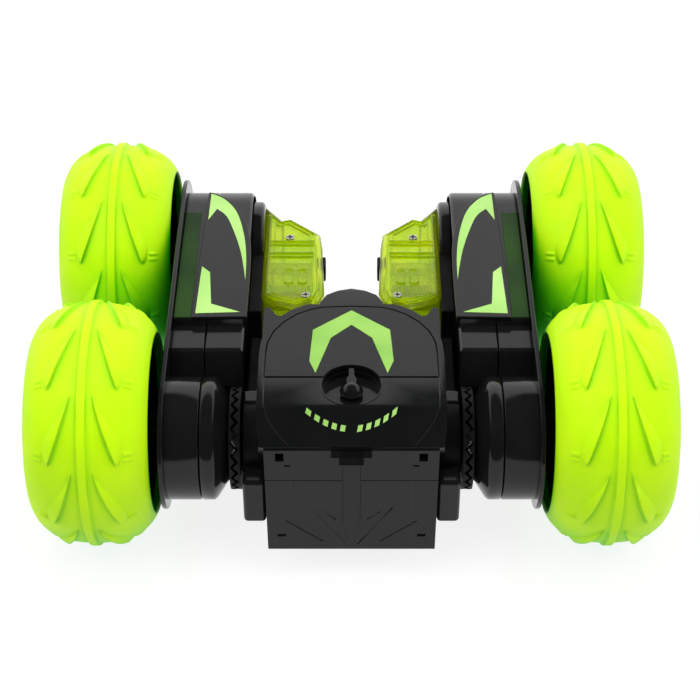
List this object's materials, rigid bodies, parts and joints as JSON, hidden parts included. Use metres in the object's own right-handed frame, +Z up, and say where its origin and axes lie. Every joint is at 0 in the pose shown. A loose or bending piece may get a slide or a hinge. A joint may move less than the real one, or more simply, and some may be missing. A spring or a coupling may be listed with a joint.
{
  "type": "rc stunt car",
  "caption": "Double-sided stunt car: flat central body between two swinging arms, each with a pair of balloon wheels, a drive motor pod and a gear train.",
  "frame": {"origin": "on the ground below the centre of the four wheels", "axes": "+X across the car to the right-hand wheels, -Y towards the nose of the central body, +Z up"},
  "size_m": [0.2048, 0.1712, 0.08],
  "materials": {
    "black_gloss_plastic": "glossy moulded black",
    "black_matte_plastic": "fine textured black",
    "neon_rubber": "soft neon yellow-green",
    "neon_clear_plastic": "translucent neon yellow-green",
    "neon_accent": "moulded green",
    "bright_steel": "plain steel",
    "brass": "machined brass",
    "white_nylon": "natural nylon",
    "circuit_board": "green solder mask",
    "battery_wrap": "shrink wrapped blue"
  },
  "bodies": {
    "chassis": {"upper_shell": "black_gloss_plastic", "lower_shell": "black_gloss_plastic", "circuit_board": "circuit_board", "battery_cell": "battery_wrap", "swing_motor": "bright_steel", "shell_screw_1": "bright_steel", "shell_screw_2": "bright_steel", "shell_screw_3": "bright_steel", "shell_screw_4": "bright_steel"},
    "battery_cover": {"battery_cover": "black_gloss_plastic"},
    "latch_knob": {"latch_knob": "black_gloss_plastic"},
    "power_switch": {"switch_slider": "black_matte_plastic"},
    "swing_axle": {"swing_shaft": "bright_steel", "swing_gear": "white_nylon", "clutch_driver_left": "black_matte_plastic", "clutch_driver_right": "black_matte_plastic", "clutch_spring_left": "bright_steel", "clutch_spring_right": "bright_steel"},
    "swing_pinion": {"swing_pinion": "brass"},
    "arm_left": {"arm_inner_shell_left": "black_gloss_plastic", "arm_outer_shell_left": "black_gloss_plastic", "clutch_ring_left": "black_matte_plastic", "drive_motor_left": "bright_steel", "motor_cover_left": "neon_clear_plastic", "led_board_left": "circuit_board"},
    "wheel_front_left": {"tyre_front_left": "neon_rubber", "rim_front_left": "black_gloss_plastic", "hub_cap_front_left": "neon_accent", "axle_front_left": "bright_steel", "wheel_gear_front_left": "white_nylon"},
    "idler_front_left": {"idler_gear_front_left": "white_nylon"},
    "wheel_rear_left": {"tyre_rear_left": "neon_rubber", "rim_rear_left": "black_gloss_plastic", "hub_cap_rear_left": "neon_accent", "axle_rear_left": "bright_steel", "wheel_gear_rear_left": "white_nylon"},
    "idler_rear_left": {"idler_gear_rear_left": "white_nylon"},
    "reduction_left": {"reduction_gear_left": "white_nylon"},
    "pinion_left": {"motor_pinion_left": "brass"},
    "arm_right": {"arm_inner_shell_right": "black_gloss_plastic", "arm_outer_shell_right": "black_gloss_plastic", "clutch_ring_right": "black_matte_plastic", "drive_motor_right": "bright_steel", "motor_cover_right": "neon_clear_plastic", "led_board_right": "circuit_board"},
    "wheel_front_right": {"tyre_front_right": "neon_rubber", "rim_front_right": "black_gloss_plastic", "hub_cap_front_right": "neon_accent", "axle_front_right": "bright_steel", "wheel_gear_front_right": "white_nylon"},
    "idler_front_right": {"idler_gear_front_right": "white_nylon"},
    "wheel_rear_right": {"tyre_rear_right": "neon_rubber", "rim_rear_right": "black_gloss_plastic", "hub_cap_rear_right": "neon_accent", "axle_rear_right": "bright_steel", "wheel_gear_rear_right": "white_nylon"},
    "idler_rear_right": {"idler_gear_rear_right": "white_nylon"},
    "reduction_right": {"reduction_gear_right": "white_nylon"},
    "pinion_right": {"motor_pinion_right": "brass"}
  },
  "joints": [
    {"name": "battery_cover_hinge", "type": "hinge", "parent": "chassis", "child": "battery_cover", "pos_m": [0, -0.0177, 0.065], "axis": [-1, 0, 0], "range_deg": [0, 75]},
    {"name": "latch_turn", "type": "hinge", "parent": "chassis", "child": "latch_knob", "pos_m": [0, -0.056, 0.06], "axis": [0, 0, 1], "range_deg": [0, 90]},
    {"name": "power_switch_slide", "type": "slide", "parent": "chassis", "child": "power_switch", "axis": [1, 0, 0], "range_m": [0, 0.003]},
    {"name": "swing_axle_turn", "type": "hinge", "parent": "chassis", "child": "swing_axle", "pos_m": [0, -0.053, 0.04], "axis": [1, 0, 0], "continuous": true},
    {"name": "swing_pinion_turn", "type": "hinge", "parent": "chassis", "child": "swing_pinion", "pos_m": [0.0135, -0.03914, 0.032], "axis": [1, 0, 0], "continuous": true},
    {"name": "arm_left_swing", "type": "hinge", "parent": "chassis", "child": "arm_left", "pos_m": [-0.042, -0.053, 0.04], "axis": [1, 0, 0], "continuous": true},
    {"name": "wheel_front_left_spin", "type": "hinge", "parent": "arm_left", "child": "wheel_front_left", "pos_m": [-0.082, -0.04562, 0.04], "axis": [1, 0, 0], "continuous": true},
    {"name": "idler_front_left_spin", "type": "hinge", "parent": "arm_left", "child": "idler_front_left", "pos_m": [-0.055, -0.02063, 0.04], "axis": [1, 0, 0], "continuous": true},
    {"name": "wheel_rear_left_spin", "type": "hinge", "parent": "arm_left", "child": "wheel_rear_left", "pos_m": [-0.082, 0.04562, 0.04], "axis": [1, 0, 0], "continuous": true},
    {"name": "idler_rear_left_spin", "type": "hinge", "parent": "arm_left", "child": "idler_rear_left", "pos_m": [-0.055, 0.02063, 0.04], "axis": [1, 0, 0], "continuous": true},
    {"name": "reduction_left_spin", "type": "hinge", "parent": "arm_left", "child": "reduction_left", "pos_m": [-0.052, 0, 0.04], "axis": [1, 0, 0], "continuous": true},
    {"name": "pinion_left_spin", "type": "hinge", "parent": "arm_left", "child": "pinion_left", "pos_m": [-0.0513, 0.0225, 0.04], "axis": [1, 0, 0], "continuous": true},
    {"name": "arm_right_swing", "type": "hinge", "parent": "chassis", "child": "arm_right", "pos_m": [0.042, -0.053, 0.04], "axis": [1, 0, 0], "continuous": true},
    {"name": "wheel_front_right_spin", "type": "hinge", "parent": "arm_right", "child": "wheel_front_right", "pos_m": [0.082, -0.04562, 0.04], "axis": [1, 0, 0], "continuous": true},
    {"name": "idler_front_right_spin", "type": "hinge", "parent": "arm_right", "child": "idler_front_right", "pos_m": [0.055, -0.02063, 0.04], "axis": [1, 0, 0], "continuous": true},
    {"name": "wheel_rear_right_spin", "type": "hinge", "parent": "arm_right", "child": "wheel_rear_right", "pos_m": [0.082, 0.04562, 0.04], "axis": [1, 0, 0], "continuous": true},
    {"name": "idler_rear_right_spin", "type": "hinge", "parent": "arm_right", "child": "idler_rear_right", "pos_m": [0.055, 0.02063, 0.04], "axis": [1, 0, 0], "continuous": true},
    {"name": "reduction_right_spin", "type": "hinge", "parent": "arm_right", "child": "reduction_right", "pos_m": [0.052, 0, 0.04], "axis": [1, 0, 0], "continuous": true},
    {"name": "pinion_right_spin", "type": "hinge", "parent": "arm_right", "child": "pinion_right", "pos_m": [0.0513, 0.0225, 0.04], "axis": [1, 0, 0], "continuous": true}
  ],
  "couplings": [
    {"joint": "swing_axle_turn", "follows": "arm_left_swing", "ratio": 1},
    {"joint": "swing_pinion_turn", "follows": "arm_left_swing", "ratio": -3},
    {"joint": "arm_right_swing", "follows": "arm_left_swing", "ratio": 1},
    {"joint": "idler_front_left_spin", "follows": "wheel_front_left_spin", "ratio": -0.66667},
    {"joint": "idler_rear_left_spin", "follows": "wheel_front_left_spin", "ratio": -0.66667},
    {"joint": "wheel_rear_left_spin", "follows": "wheel_front_left_spin", "ratio": 1},
    {"joint": "reduction_left_spin", "follows": "wheel_front_left_spin", "ratio": 1.7778},
    {"joint": "pinion_left_spin", "follows": "wheel_front_left_spin", "ratio": -8.2222},
    {"joint": "idler_front_right_spin", "follows": "wheel_front_right_spin", "ratio": -0.66667},
    {"joint": "idler_rear_right_spin", "follows": "wheel_front_right_spin", "ratio": -0.66667},
    {"joint": "wheel_rear_right_spin", "follows": "wheel_front_right_spin", "ratio": 1},
    {"joint": "reduction_right_spin", "follows": "wheel_front_right_spin", "ratio": 1.7778},
    {"joint": "pinion_right_spin", "follows": "wheel_front_right_spin", "ratio": -8.2222}
  ]
}
